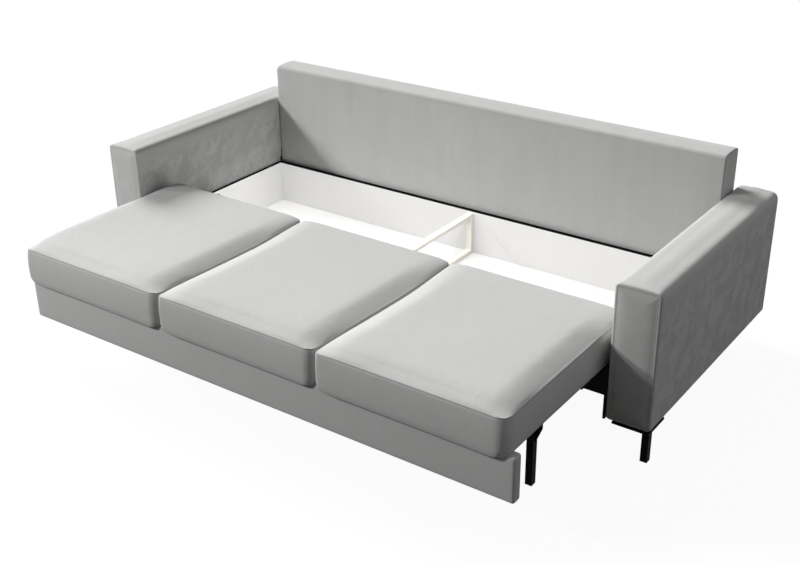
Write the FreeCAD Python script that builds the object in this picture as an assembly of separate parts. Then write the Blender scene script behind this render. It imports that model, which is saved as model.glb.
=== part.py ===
import FreeCAD, Part
import math
import os

# Sofa bed with its seat drawn out, its back upright and its bedding box open.
# X runs along the sofa, +Y to the back, +Z up. The origin is on the floor,
# in the middle of the whole footprint.

Vector = FreeCAD.Vector

# The whole sofa, as it stands open
sofa_width = 2480.0
arm_depth = 1042.0
arm_top = 615.0
arm_bottom = 117.0
back_top = 768.0
seat_top = 440.0
seat_reach = 608.0
seat_depth = 790.0

# Common walls, gaps and overruns
overrun = 5.0
touch_gap = 0.3
quarter_bulge_share = (math.sqrt(2) - 1) / 2
hole_slack = 0.08
fixing_slack = 0.1
hex_sides = 6

# Arms: a padded cover round a timber frame, and a front panel sewn on last
arm_width = 163.0
arm_top_edge = 27.0
arm_low_edge = 16.0
arm_rear_edge = 12.0
arm_rear_turn_share = 1 - math.sqrt(0.5)
arm_crown = 3.0
arm_cover = 12.0
arm_panel = 10.0
arm_panel_inset = 1.5
arm_panel_edge = 5.0
arm_board = 16.0
arm_window_bottom = 380.0
arm_window_edge = 45.0
arm_window_post = 60.0

# Corner feet: a flat angle plate with a square tube welded under it
foot_plate = 8.0
foot_plate_reach = 122.0
foot_plate_width = 134.0
foot_strip = 40.0
foot_strip_corner = 8.0
foot_inset = 3.0
foot_tube = 25.0
foot_wall = 2.0
glide_base = 4.0
glide_plug = 14.0
glide_slack = 0.2
foot_screw_radius = 2.4
foot_screw_head = 5.0
foot_screw_head_height = 2.5
foot_screw_bite = 12.0

# Bedding box
side_board = 8.5
board = 16.0
lining = 2.0
board_bottom = 104.0
floor_board = 8.0
box_rim = 310.0
lining_drop = 5.0
front_board_setback = 154.0
front_board_top = 262.0
front_lining_drop = 2.0
centre_foot_half = 26.0
centre_foot_inset = 60.0

# Divider in the middle of the box
divider_width = 26.0
divider_bar = 16.0
divider_top = 300.0

# Back and its two pivots
back_rear_inset = 29.0
back_thickness = 123.0
back_bottom = 170.5
back_end_gap = 5.0
back_front_edge = 20.0
back_rear_edge = 12.0
back_low_edge = 14.0
back_end_edge = 6.0
back_crown = 3.0
back_rear_gap = 2.0
back_cover = 14.0
back_frame_front = 60.0
back_frame_thickness = 34.0
back_frame_rail = 60.0
back_frame_slack = 0.2
pivot_height = 322.5
pivot_radius = 5.0
pivot_reach = 40.0
pivot_flange_radius = 9.0
ear_thickness = 3.0
ear_radius = 10.0
ear_depth = 70.0
ear_height = 50.0
ear_screw_radius = 2.4
ear_screw_head = 4.5
ear_screw_head_height = 1.4
ear_screw_bite = 30.0
ear_screw_inset = 14.0

# Seat frame and its padding
seat_side_gap = 22.0
seat_under = 312.5
seat_board = 20.0
seat_board_height = 52.5
seat_deck = 6.0
seat_front_padding = 24.0
seat_rear_padding = 20.0
skirt_bottom = 294.5
skirt_thickness = 12.0
skirt_end_gap = 70.0
cushion_gap = 1.2
cushion_front_corner = 48.0
cushion_rear_corner = 22.0
cushion_seam_height = 417.0
cushion_full_height = 365.0
cushion_tuck_height = 309.0
cushion_tuck = 9.0
cushion_low_swell = 2.5
cushion_flat_inset = 170.0
cushion_crown_power = 4
cushion_crown_levels = 4

# Apron under the front of the seat
apron_side_gap = 1.0
apron_bottom = 131.0
apron_top_gap = 1.5
apron_setback = 14.0
apron_thickness = 46.0
apron_padding = 12.0
apron_board = 18.0
apron_edge = 9.0
apron_plate_width = 40.0
apron_plate_height = 50.0
apron_plate = 3.0
apron_plate_drop = 17.0
apron_plate_rail_gap = 2.0
apron_plate_side_gap = 69.5

# Telescopic runners
rail_height = 42.0
rail_wall = 2.0
rail_slack = 0.5
rail_top_gap = 3.5
base_rail_lip = 14.0
seat_rail_lip = 17.0
rail_gap = 4.0
packer = 26.0
packer_drop = 5.0
packer_height = 28.0
base_rail_start = 2.0
base_rail_length = 235.0
middle_rail_reach = 104.0
middle_rail_length = 500.0
seat_rail_setback = 128.0
seat_rail_length = 470.0
seat_rail_flange = 37.5
rail_screw_radius = 2.2
rail_screw_head = 4.5
rail_screw_head_height = 2.0
rail_screw_bite = 14.0
rail_screw_count = 4
rail_screw_end = 30.0

# Folding legs under the seat
leg_side_gap = 32.5
leg_setback = 298.0
leg_pivot = 325.0
leg_pin_radius = 5.0
leg_pin_head_radius = 8.0
leg_pin_head = 2.0
leg_bracket_gap = 0.5
leg_bracket = 3.0
leg_bracket_width = 34.0
leg_bracket_drop = 12.0
gusset = 4.0
gusset_reach = 23.5
gusset_low = 161.0
gusset_knee = 222.0
gusset_shoulder = 246.0
gusset_top = 275.0

# Bolts that hold the arms to the box
arm_bolt_radius = 4.0
arm_bolt_head = 8.0
arm_bolt_head_depth = 4.0
arm_bolt_reach = 24.0
arm_bolt_height = 210.0
arm_bolt_places_share = (0.26, 0.58, 0.91)

# Places worked out from the sizes above
half_width = sofa_width / 2
arm_front = (seat_reach - arm_depth) / 2
arm_back = arm_front + arm_depth
arm_inner = half_width - arm_width
box_half = arm_inner - side_board
lining_face = box_half - lining
floor_bottom = arm_bottom - floor_board
back_rear = arm_back - back_rear_inset
back_front = back_rear - back_thickness
back_half = arm_inner - back_end_gap
rear_board_back = back_front - back_rear_gap
rear_board_front = rear_board_back - board
rear_lining_front = rear_board_front - lining
front_board_front = arm_front + front_board_setback
front_board_back = front_board_front + board
front_lining_back = front_board_back + lining
lining_top = box_rim - lining_drop
seat_half = arm_inner - seat_side_gap
seat_front = arm_front - seat_reach
seat_rear = seat_front + seat_depth
seat_frame_front = seat_front + seat_front_padding
seat_frame_rear = seat_rear - seat_rear_padding
seat_deck_bottom = seat_under + seat_board_height
seat_deck_top = seat_deck_bottom + seat_deck
rail_outer = lining_face - packer
rail_top = seat_under - rail_top_gap
rail_bottom = rail_top - rail_height
base_rail_inner = rail_outer - base_rail_lip
seat_rail_outer = base_rail_inner - rail_gap
seat_rail_inner = seat_rail_outer - seat_rail_lip
seat_side_inner = seat_rail_inner + rail_wall
seat_side_outer = seat_half - skirt_thickness
seat_cross = seat_half / 3
leg_x = seat_side_inner - leg_side_gap
apron_half = box_half - apron_side_gap
apron_front = seat_front + apron_setback
apron_board_front = apron_front + apron_padding
apron_board_back = apron_board_front + apron_board
leg_y = seat_front + leg_setback


def slab(x_span, y_span, z_span):
    """A box from its low and high corner on each axis."""
    size = [high - low for low, high in (x_span, y_span, z_span)]
    return Part.makeBox(size[0], size[1], size[2], Vector(x_span[0], y_span[0], z_span[0]))


def rod(start, direction, radius, length):
    """A round bar from a start point along a direction."""
    return Part.makeCylinder(radius, length, start, direction)


def hex_bar(start, along, radius, length):
    """A six-sided bar for the head or shank of a small fixing that lies along an axis."""
    side = Vector(0, 0, 1) if along.y else Vector(0, 1, 0)
    across = along.cross(side)
    corners = []
    for number in range(hex_sides):
        angle = math.tau * number / hex_sides
        corners.append(start + (side * math.cos(angle) + across * math.sin(angle)) * radius)
    return plate(corners, along * length)


def arc_between(start, end, bulge):
    """An arc from start to end whose middle stands off the chord by bulge."""
    middle = (start + end) * 0.5 + bulge
    return Part.Arc(start, middle, end).toShape()


def plate(points, thickness):
    """A flat plate: a closed outline of points, pushed along a vector."""
    outline = Part.makePolygon(list(points) + [points[0]])
    return Part.Face(outline).extrude(thickness)


def mirrored(shape):
    """The same piece for the other end of the sofa."""
    return shape.mirror(Vector(), Vector(1, 0, 0))


def both_ends(shape):
    """One node that holds a piece and its mirror image."""
    return Part.makeCompound([mirrored(shape), shape])


def save(name, shape):
    shape.exportStep("parts/" + name + ".step")


def save_pair(name, right_shape):
    """The right-hand piece and its mirror image, each in a node of its own."""
    save("right_" + name, right_shape)
    save("left_" + name, mirrored(right_shape))


def filleted(shape, radius, wanted):
    """Round every edge of a shape that the test picks."""
    edges = [edge for edge in shape.Edges if wanted(edge)]
    return shape.makeFillet(radius, edges)


def lies_at(edge, axis, value):
    """True if the whole edge lies in the plane where one coordinate has a value."""
    box = edge.BoundBox
    low = (box.XMin, box.YMin, box.ZMin)[axis]
    high = (box.XMax, box.YMax, box.ZMax)[axis]
    near = touch_gap / 2
    return abs(low - value) < near and abs(high - value) < near


def arm_outline(y, inset):
    """The arm seen from the front: rounded corners and a slightly crowned top."""
    left = arm_inner + inset
    right = half_width - inset
    low = arm_bottom + inset
    high = arm_top - inset
    top = arm_top_edge - inset
    foot = arm_low_edge - inset
    reach = quarter_bulge_share
    shoulder = high - arm_crown
    points = [
        Vector(left + foot, y, low),
        Vector(right - foot, y, low),
        Vector(right, y, low + foot),
        Vector(right, y, shoulder - top),
        Vector(right - top, y, shoulder),
        Vector(left + top, y, shoulder),
        Vector(left, y, shoulder - top),
        Vector(left, y, low + foot),
    ]
    edges = [
        Part.LineSegment(points[0], points[1]).toShape(),
        arc_between(points[1], points[2], Vector(foot * reach, 0, -foot * reach)),
        Part.LineSegment(points[2], points[3]).toShape(),
        arc_between(points[3], points[4], Vector(top * reach, 0, top * reach)),
        arc_between(points[4], points[5], Vector(0, 0, arm_crown)),
        arc_between(points[5], points[6], Vector(-top * reach, 0, top * reach)),
        Part.LineSegment(points[6], points[7]).toShape(),
        arc_between(points[7], points[0], Vector(-foot * reach, 0, -foot * reach)),
    ]
    return Part.Face(Part.Wire(edges))


def arm_bolt_ys():
    length = rear_board_back - arm_front
    return [arm_front + length * share for share in arm_bolt_places_share]


def arm_bolts(slack):
    """Bolts from the box's side board into the arm, heads sunk flush, and their holes."""
    radius = arm_bolt_radius + slack
    head = arm_bolt_head + slack
    along = Vector(1, 0, 0)
    solids = []
    for y in arm_bolt_ys():
        start = Vector(box_half, y, arm_bolt_height)
        cap = hex_bar(start, along, head, arm_bolt_head_depth)
        shank = hex_bar(start, along, radius, side_board + arm_bolt_reach + slack)
        solids.append(cap.fuse(shank).removeSplitter())
    return solids


def pivot_pin(slack):
    """The bolt on which the back swings, with its flange against the arm."""
    along = Vector(1, 0, 0)
    start = Vector(back_half + touch_gap, back_front, pivot_height)
    length = arm_inner + pivot_reach - start.x
    pin = rod(start, along, pivot_radius + slack, length + slack)
    flange_start = Vector(back_half + ear_thickness + touch_gap, back_front, pivot_height)
    flange = hex_bar(flange_start, along, pivot_flange_radius, arm_inner - flange_start.x)
    return pin.fuse(flange).removeSplitter()


def foot_plate_box():
    """The spans of a front right foot's plate."""
    x_span = (half_width - foot_inset - foot_plate_width, half_width - foot_inset)
    y_span = (arm_front, arm_front + foot_plate_reach)
    return x_span, y_span


def foot_screw_places():
    x_span, y_span = foot_plate_box()
    middle = foot_strip / 2
    return [
        Vector(x_span[0] + middle, y_span[0] + middle, arm_bottom - foot_plate),
        Vector(x_span[1] - middle, y_span[0] + middle + foot_tube, arm_bottom - foot_plate),
        Vector(x_span[1] - middle, y_span[1] - middle / 2, arm_bottom - foot_plate),
    ]


def foot_screws(slack):
    """Pan head screws from under the plate up into the arm's bottom board."""
    up = Vector(0, 0, 1)
    radius = foot_screw_radius + slack
    solids = []
    for place in foot_screw_places():
        head_start = place - Vector(0, 0, foot_screw_head_height)
        head = hex_bar(head_start, up, foot_screw_head, foot_screw_head_height)
        shank = hex_bar(place, up, radius, foot_plate + foot_screw_bite + slack)
        solids.append(head.fuse(shank).removeSplitter())
    return solids


def corner_copies(shape):
    """The right front piece and its copies; at the rear the tube stands at the inner corner."""
    middle = Vector(half_width - arm_width / 2, arm_front + arm_depth / 2, 0)
    rear = shape.mirror(middle, Vector(0, 1, 0)).mirror(middle, Vector(1, 0, 0))
    return {"front_right": shape, "front_left": mirrored(shape), "rear_right": rear, "rear_left": mirrored(rear)}


def build_arms():
    sections = [
        arm_outline(arm_front + arm_panel, 0).OuterWire,
        arm_outline(arm_back - arm_rear_edge, 0).OuterWire,
        arm_outline(arm_back - arm_rear_edge * arm_rear_turn_share, arm_rear_edge * arm_rear_turn_share).OuterWire,
        arm_outline(arm_back, arm_rear_edge).OuterWire,
    ]
    cover = Part.makeLoft(sections, True, True)
    x_span = (arm_inner + arm_cover, half_width - arm_cover)
    y_span = (arm_front + arm_panel, arm_back - arm_cover)
    z_span = (arm_bottom, arm_top - arm_cover)
    room = slab(x_span, y_span, (arm_bottom - overrun, z_span[1]))
    cover = cover.cut(room)
    frame = slab(x_span, y_span, z_span)
    cavity = slab(
        (x_span[0] + arm_board, x_span[1] - arm_board),
        (y_span[0] + arm_board, y_span[1] - arm_board),
        (z_span[0] + arm_board, z_span[1] - arm_board),
    )
    frame = frame.cut(cavity)
    window_z = (arm_window_bottom, z_span[1] - arm_window_edge)
    middle = (y_span[0] + y_span[1]) / 2
    low_half = (y_span[0] + arm_window_edge, middle - arm_window_post / 2)
    high_half = (middle + arm_window_post / 2, y_span[1] - arm_window_edge)
    for y_window in (low_half, high_half):
        window = slab((x_span[0] - overrun, x_span[1] + overrun), y_window, window_z)
        frame = frame.cut(window)
    holes = arm_bolts(fixing_slack) + [pivot_pin(hole_slack)]
    cover = cover.cut(Part.makeCompound(holes))
    frame = frame.cut(Part.makeCompound(holes))
    screw_holes = []
    for name, screws in corner_copies(Part.makeCompound(foot_screws(fixing_slack))).items():
        if name.endswith("right"):
            screw_holes.append(screws)
    frame = frame.cut(Part.makeCompound(screw_holes))
    sections = [
        arm_outline(arm_front, arm_panel_inset + arm_panel_edge).OuterWire,
        arm_outline(arm_front + arm_panel_edge, arm_panel_inset).OuterWire,
        arm_outline(arm_front + arm_panel, arm_panel_inset).OuterWire,
    ]
    panel = Part.makeLoft(sections, True, True)
    save_pair("arm_cover", cover)
    save_pair("arm_frame", frame)
    save_pair("arm_front_panel", panel)


def build_feet():
    x_span, y_span = foot_plate_box()
    low = arm_bottom - foot_plate
    strip_x = x_span[1] - foot_strip
    strip_y = y_span[0] + foot_strip
    points = [
        Vector(x_span[0], y_span[0], low),
        Vector(x_span[1], y_span[0], low),
        Vector(x_span[1], y_span[1], low),
        Vector(strip_x, y_span[1], low),
        Vector(strip_x, strip_y, low),
        Vector(x_span[0], strip_y, low),
    ]
    angle = plate(points, Vector(0, 0, foot_plate))
    angle = filleted(
        angle,
        foot_strip_corner,
        lambda edge: lies_at(edge, 0, strip_x) and lies_at(edge, 1, strip_y),
    )
    tube_x = (x_span[1] - foot_tube, x_span[1])
    tube_y = (y_span[0] + foot_inset, y_span[0] + foot_inset + foot_tube)
    tube = slab(tube_x, tube_y, (glide_base, low))
    bore = slab(
        (tube_x[0] + foot_wall, tube_x[1] - foot_wall),
        (tube_y[0] + foot_wall, tube_y[1] - foot_wall),
        (glide_base - overrun, low),
    )
    foot = angle.fuse(tube.cut(bore)).removeSplitter()
    foot = foot.cut(Part.makeCompound(foot_screws(fixing_slack)))
    for name, shape in corner_copies(foot).items():
        save(name + "_foot", shape)
    inside = foot_wall + glide_slack
    glide = slab(tube_x, tube_y, (0, glide_base)).fuse(
        slab(
            (tube_x[0] + inside, tube_x[1] - inside),
            (tube_y[0] + inside, tube_y[1] - inside),
            (0, glide_base + glide_plug),
        )
    )
    glide = glide.removeSplitter()
    save("foot_glides", Part.makeCompound(list(corner_copies(glide).values())))
    screws = Part.makeCompound(foot_screws(0))
    save("foot_screws", Part.makeCompound(list(corner_copies(screws).values())))


def build_box():
    side_z = (arm_bottom, box_rim)
    side = slab((box_half, arm_inner), (arm_front, rear_board_back), side_z)
    side = side.cut(Part.makeCompound(arm_bolts(fixing_slack)))
    save_pair("side_board", side)
    side_sheet = slab((lining_face, box_half), (front_lining_back, rear_lining_front), (arm_bottom, lining_top))
    save_pair("side_lining", side_sheet)
    across = (-box_half, box_half)
    save("rear_board", slab(across, (rear_board_front, rear_board_back), (board_bottom, box_rim)))
    save("rear_lining", slab(across, (rear_lining_front, rear_board_front), (arm_bottom, lining_top)))
    save("front_board", slab(across, (front_board_front, front_board_back), (board_bottom, front_board_top)))
    front_sheet_z = (arm_bottom, front_board_top - front_lining_drop)
    save("front_lining", slab(across, (front_board_back, front_lining_back), front_sheet_z))
    floor = slab((-arm_inner, arm_inner), (front_board_back, rear_board_front), (floor_bottom, arm_bottom))
    save("storage_floor", floor)
    feet = []
    for y in (front_board_back + centre_foot_inset, rear_board_front - centre_foot_inset):
        half = centre_foot_half
        feet.append(slab((-half, half), (y - half, y + half), (0, floor_bottom)))
    save("centre_feet", Part.makeCompound(feet))
    save("arm_bolts", both_ends(Part.makeCompound(arm_bolts(0))))
    save("back_pivot_pins", both_ends(pivot_pin(0)))


def build_divider():
    x_span = (-divider_width / 2, divider_width / 2)
    y_span = (front_lining_back, rear_lining_front)
    low = arm_bottom + divider_bar
    high = divider_top - divider_bar
    save("divider_top_rail", slab(x_span, y_span, (high, divider_top)))
    save("divider_bottom_rail", slab(x_span, y_span, (arm_bottom, low)))
    save("divider_front_post", slab(x_span, (y_span[0], y_span[0] + divider_bar), (low, high)))
    save("divider_rear_post", slab(x_span, (y_span[1] - divider_bar, y_span[1]), (low, high)))


def build_rails():
    start = front_lining_back + base_rail_start
    base_y = (start, start + base_rail_length)
    z_span = (rail_bottom, rail_top)
    base_rail = slab((base_rail_inner, rail_outer), base_y, z_span)
    hollow_z = (rail_bottom + rail_wall, rail_top - rail_wall)
    hollow_y = (base_y[0] - overrun, base_y[1] + overrun)
    base_rail = base_rail.cut(slab((base_rail_inner - overrun, rail_outer - rail_wall), hollow_y, hollow_z))
    save_pair("base_rail", base_rail)
    packer_bottom = rail_bottom - packer_drop
    block = slab((rail_outer, lining_face), base_y, (packer_bottom, packer_bottom + packer_height))
    save("rail_packers", both_ends(block))
    middle_front = arm_front - middle_rail_reach
    middle_y = (middle_front, middle_front + middle_rail_length)
    middle_x = (seat_side_inner + rail_slack, rail_outer - rail_wall - rail_slack)
    middle_z = (hollow_z[0] + rail_slack, hollow_z[1] - rail_slack)
    tube = slab(middle_x, middle_y, middle_z)
    bore = slab(
        (middle_x[0] + rail_wall, middle_x[1] - rail_wall),
        (middle_y[0] - overrun, middle_y[1] + overrun),
        (middle_z[0] + rail_wall, middle_z[1] - rail_wall),
    )
    save_pair("middle_rail", tube.cut(bore))
    seat_rail_front = seat_front + seat_rail_setback
    seat_y = (seat_rail_front, seat_rail_front + seat_rail_length)
    channel = slab((seat_rail_inner, seat_rail_outer), seat_y, z_span)
    hollow_y = (seat_y[0] - overrun, seat_y[1] + overrun)
    channel = channel.cut(slab((seat_side_inner, seat_rail_outer + overrun), hollow_y, hollow_z))
    web = slab((seat_rail_inner, seat_side_inner), seat_y, (rail_bottom, seat_under + seat_rail_flange))
    seat_rail = channel.fuse(web).removeSplitter()
    screws = rail_screws(seat_y, 0)
    seat_rail = seat_rail.cut(Part.makeCompound(rail_screws(seat_y, fixing_slack)))
    save_pair("seat_rail", seat_rail)
    save("seat_rail_screws", both_ends(Part.makeCompound(screws)))


def rail_screws(y_span, slack):
    """A row of screws through the seat rail's web into the seat's side board."""
    step = (y_span[1] - y_span[0] - 2 * rail_screw_end) / (rail_screw_count - 1)
    z = seat_under + seat_rail_flange / 2
    along = Vector(1, 0, 0)
    solids = []
    for number in range(rail_screw_count):
        place = Vector(seat_rail_inner, y_span[0] + rail_screw_end + number * step, z)
        head_start = place - Vector(rail_screw_head_height, 0, 0)
        head = hex_bar(head_start, along, rail_screw_head, rail_screw_head_height)
        shank = hex_bar(place, along, rail_screw_radius + slack, rail_wall + rail_screw_bite + slack)
        solids.append(head.fuse(shank).removeSplitter())
    return solids


def cushion_section(x_span, z, inset):
    """A level section of a seat cushion: four sides and four rounded corners."""
    left = x_span[0] + inset
    right = x_span[1] - inset
    front = seat_front + inset
    rear = seat_rear - inset
    front_corner = cushion_front_corner
    rear_corner = cushion_rear_corner
    reach = quarter_bulge_share
    points = [
        Vector(left + front_corner, front, z),
        Vector(right - front_corner, front, z),
        Vector(right, front + front_corner, z),
        Vector(right, rear - rear_corner, z),
        Vector(right - rear_corner, rear, z),
        Vector(left + rear_corner, rear, z),
        Vector(left, rear - rear_corner, z),
        Vector(left, front + front_corner, z),
    ]
    near = front_corner * reach
    far = rear_corner * reach
    edges = [
        Part.LineSegment(points[0], points[1]).toShape(),
        arc_between(points[1], points[2], Vector(near, -near, 0)),
        Part.LineSegment(points[2], points[3]).toShape(),
        arc_between(points[3], points[4], Vector(far, far, 0)),
        Part.LineSegment(points[4], points[5]).toShape(),
        arc_between(points[5], points[6], Vector(-far, far, 0)),
        Part.LineSegment(points[6], points[7]).toShape(),
        arc_between(points[7], points[0], Vector(-near, -near, 0)),
    ]
    return Part.Wire(edges)


def cushion_levels():
    """Heights and insets up a cushion: a tucked foot, full sides, and a crown above the seam.

    The crown falls away from the flat middle by the fourth power of how far out a point lies.
    """
    levels = [
        (skirt_bottom, cushion_tuck),
        (cushion_tuck_height, cushion_low_swell),
        (cushion_full_height, 0),
        (cushion_seam_height, cushion_low_swell),
    ]
    rise = seat_top - cushion_seam_height
    width = cushion_flat_inset - cushion_low_swell
    for number in range(1, cushion_crown_levels + 1):
        share = (number / cushion_crown_levels) ** 2
        z = seat_top - rise * (1 - share) ** cushion_crown_power
        levels.append((z, cushion_low_swell + width * share))
    return levels


def seat_frame_room():
    """The space under the cushions that the frame, the rails and the box need."""
    room = slab(
        (-seat_side_outer, seat_side_outer),
        (seat_frame_front, seat_frame_rear),
        (skirt_bottom - overrun, seat_deck_top),
    )
    under = slab(
        (-seat_side_outer, seat_side_outer),
        (seat_frame_front, seat_rear + overrun),
        (skirt_bottom - overrun, seat_under),
    )
    behind = slab(
        (-seat_half - overrun, seat_half + overrun),
        (seat_frame_rear - skirt_end_gap, seat_rear + overrun),
        (skirt_bottom - overrun, seat_under),
    )
    return room.fuse([under, behind])


def build_cushions():
    width = 2 * seat_half / 3
    room = seat_frame_room()
    for number, name in enumerate(("left", "centre", "right")):
        low = -seat_half + number * width
        x_span = (low + cushion_gap / 2, low + width - cushion_gap / 2)
        sections = [cushion_section(x_span, z, inset) for z, inset in cushion_levels()]
        cushion = Part.makeLoft(sections, True, True)
        save(name + "_seat_cushion", cushion.cut(room))


def build_seat_frame():
    z_span = (seat_under, seat_deck_bottom)
    across = (-seat_side_outer, seat_side_outer)
    front_y = (seat_frame_front, seat_frame_front + seat_board)
    rear_y = (seat_frame_rear - seat_board, seat_frame_rear)
    save("seat_front_rail", slab(across, front_y, z_span))
    save("seat_rear_rail", slab(across, rear_y, z_span))
    inner_y = (front_y[1], rear_y[0])
    side = slab((seat_side_inner, seat_side_outer), inner_y, z_span)
    seat_y = seat_front + seat_rail_setback
    side = side.cut(Part.makeCompound(rail_screws((seat_y, seat_y + seat_rail_length), fixing_slack)))
    save_pair("seat_side_rail", side)
    cross = slab((seat_cross - seat_board / 2, seat_cross + seat_board / 2), inner_y, z_span)
    save_pair("seat_cross_rail", cross)
    deck = slab(across, (seat_frame_front, seat_frame_rear), (seat_deck_bottom, seat_deck_top))
    save("seat_deck", deck)


def build_apron():
    top = skirt_bottom - apron_top_gap
    pad = slab((-apron_half, apron_half), (apron_front, apron_front + apron_thickness), (apron_bottom, top))
    pad = filleted(pad, apron_edge, lambda edge: True)
    board_half = seat_side_outer - touch_gap
    board_x = (-board_half, board_half)
    board_y = (apron_board_front, apron_board_back)
    board_low = apron_bottom + apron_padding
    save("apron_padding", pad.cut(slab(board_x, board_y, (board_low, top + overrun))))
    save("apron_board", slab(board_x, board_y, (board_low, seat_under)))
    plates = []
    near = seat_cross - seat_board / 2 - apron_plate_rail_gap - apron_plate_width / 2
    far = seat_side_inner - apron_plate_side_gap - apron_plate_width / 2
    low = seat_under - apron_plate_drop
    for x in (-far, -near, near, far):
        plates.append(
            slab(
                (x - apron_plate_width / 2, x + apron_plate_width / 2),
                (apron_board_back, apron_board_back + apron_plate),
                (low, low + apron_plate_height),
            )
        )
    save("apron_plates", Part.makeCompound(plates))


def build_legs():
    half = foot_tube / 2
    x_span = (leg_x - half, leg_x + half)
    y_span = (leg_y - half, leg_y + half)
    tube = slab(x_span, y_span, (glide_base, leg_pivot + half))
    bore = slab(
        (x_span[0] + foot_wall, x_span[1] - foot_wall),
        (y_span[0] + foot_wall, y_span[1] - foot_wall),
        (glide_base - overrun, leg_pivot + half - foot_wall),
    )
    edge_x = x_span[1]
    front = leg_y - gusset / 2
    web = plate(
        [
            Vector(edge_x, front, gusset_low),
            Vector(edge_x + gusset_reach, front, gusset_knee),
            Vector(edge_x + gusset_reach, front, gusset_shoulder),
            Vector(edge_x, front, gusset_top),
        ],
        Vector(0, gusset, 0),
    )
    leg = tube.cut(bore).fuse(web).removeSplitter()
    along = Vector(0, 1, 0)
    hole_start = Vector(leg_x, y_span[0] - overrun, leg_pivot)
    leg = leg.cut(rod(hole_start, along, leg_pin_radius + hole_slack, foot_tube + 2 * overrun))
    save_pair("folding_leg", leg)
    inside = foot_wall + glide_slack
    cap = slab(x_span, y_span, (0, glide_base)).fuse(
        slab(
            (x_span[0] + inside, x_span[1] - inside),
            (y_span[0] + inside, y_span[1] - inside),
            (0, glide_base + glide_plug),
        )
    )
    save_pair("leg_cap", cap.removeSplitter())
    inner = half + leg_bracket_gap
    outer = inner + leg_bracket
    bracket_x = (leg_x - leg_bracket_width / 2, leg_x + leg_bracket_width / 2)
    bracket = slab(bracket_x, (leg_y - outer, leg_y + outer), (leg_pivot - leg_bracket_drop, seat_deck_bottom))
    room = slab(
        (bracket_x[0] - overrun, bracket_x[1] + overrun),
        (leg_y - inner, leg_y + inner),
        (leg_pivot - leg_bracket_drop - overrun, seat_deck_bottom - leg_bracket),
    )
    pin_start = Vector(leg_x, leg_y - outer, leg_pivot)
    pin = rod(pin_start, along, leg_pin_radius, 2 * outer)
    bracket = bracket.cut(room)
    bracket = bracket.cut(rod(pin_start, along, leg_pin_radius + hole_slack, 2 * outer))
    save("leg_brackets", both_ends(bracket))
    head = hex_bar(pin_start - Vector(0, leg_pin_head, 0), along, leg_pin_head_radius, leg_pin_head)
    far_start = Vector(leg_x, leg_y + outer, leg_pivot)
    far_head = hex_bar(far_start, along, leg_pin_head_radius, leg_pin_head)
    save("leg_pins", both_ends(pin.fuse([head, far_head]).removeSplitter()))


def back_outline(x, inset):
    """The back seen from its end: soft top edges and a slightly crowned top."""
    front = back_front + inset
    rear = back_rear - inset
    low = back_bottom + inset
    top = back_top - back_crown - inset
    bow = back_crown
    low_edge = back_low_edge - inset
    rear_edge = back_rear_edge - inset
    front_edge = back_front_edge - inset
    points = [
        Vector(x, front + low_edge, low),
        Vector(x, rear - low_edge, low),
        Vector(x, rear, low + low_edge),
        Vector(x, rear, top - rear_edge),
        Vector(x, rear - rear_edge, top),
        Vector(x, front + front_edge, top),
        Vector(x, front, top - front_edge),
        Vector(x, front, low + low_edge),
    ]
    small = low_edge * quarter_bulge_share
    wide = rear_edge * quarter_bulge_share
    soft = front_edge * quarter_bulge_share
    edges = [
        Part.LineSegment(points[0], points[1]).toShape(),
        arc_between(points[1], points[2], Vector(0, small, -small)),
        Part.LineSegment(points[2], points[3]).toShape(),
        arc_between(points[3], points[4], Vector(0, wide, wide)),
        arc_between(points[4], points[5], Vector(0, 0, bow)),
        arc_between(points[5], points[6], Vector(0, -soft, soft)),
        Part.LineSegment(points[6], points[7]).toShape(),
        arc_between(points[7], points[0], Vector(0, -small, -small)),
    ]
    return Part.Wire(edges)


def ear_screws(slack):
    """Two screws through an ear plate into the end of the back's frame."""
    along = Vector(-1, 0, 0)
    face = back_half + ear_thickness
    y = back_front + back_frame_front + back_frame_thickness / 2
    solids = []
    for z in (pivot_height + ear_screw_inset, pivot_height + ear_height - ear_screw_inset):
        head_start = Vector(face + ear_screw_head_height, y, z)
        head = hex_bar(head_start, along, ear_screw_head, ear_screw_head_height)
        shank = hex_bar(Vector(face, y, z), along, ear_screw_radius + slack, ear_screw_bite + slack)
        solids.append(head.fuse(shank).removeSplitter())
    return solids


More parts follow.
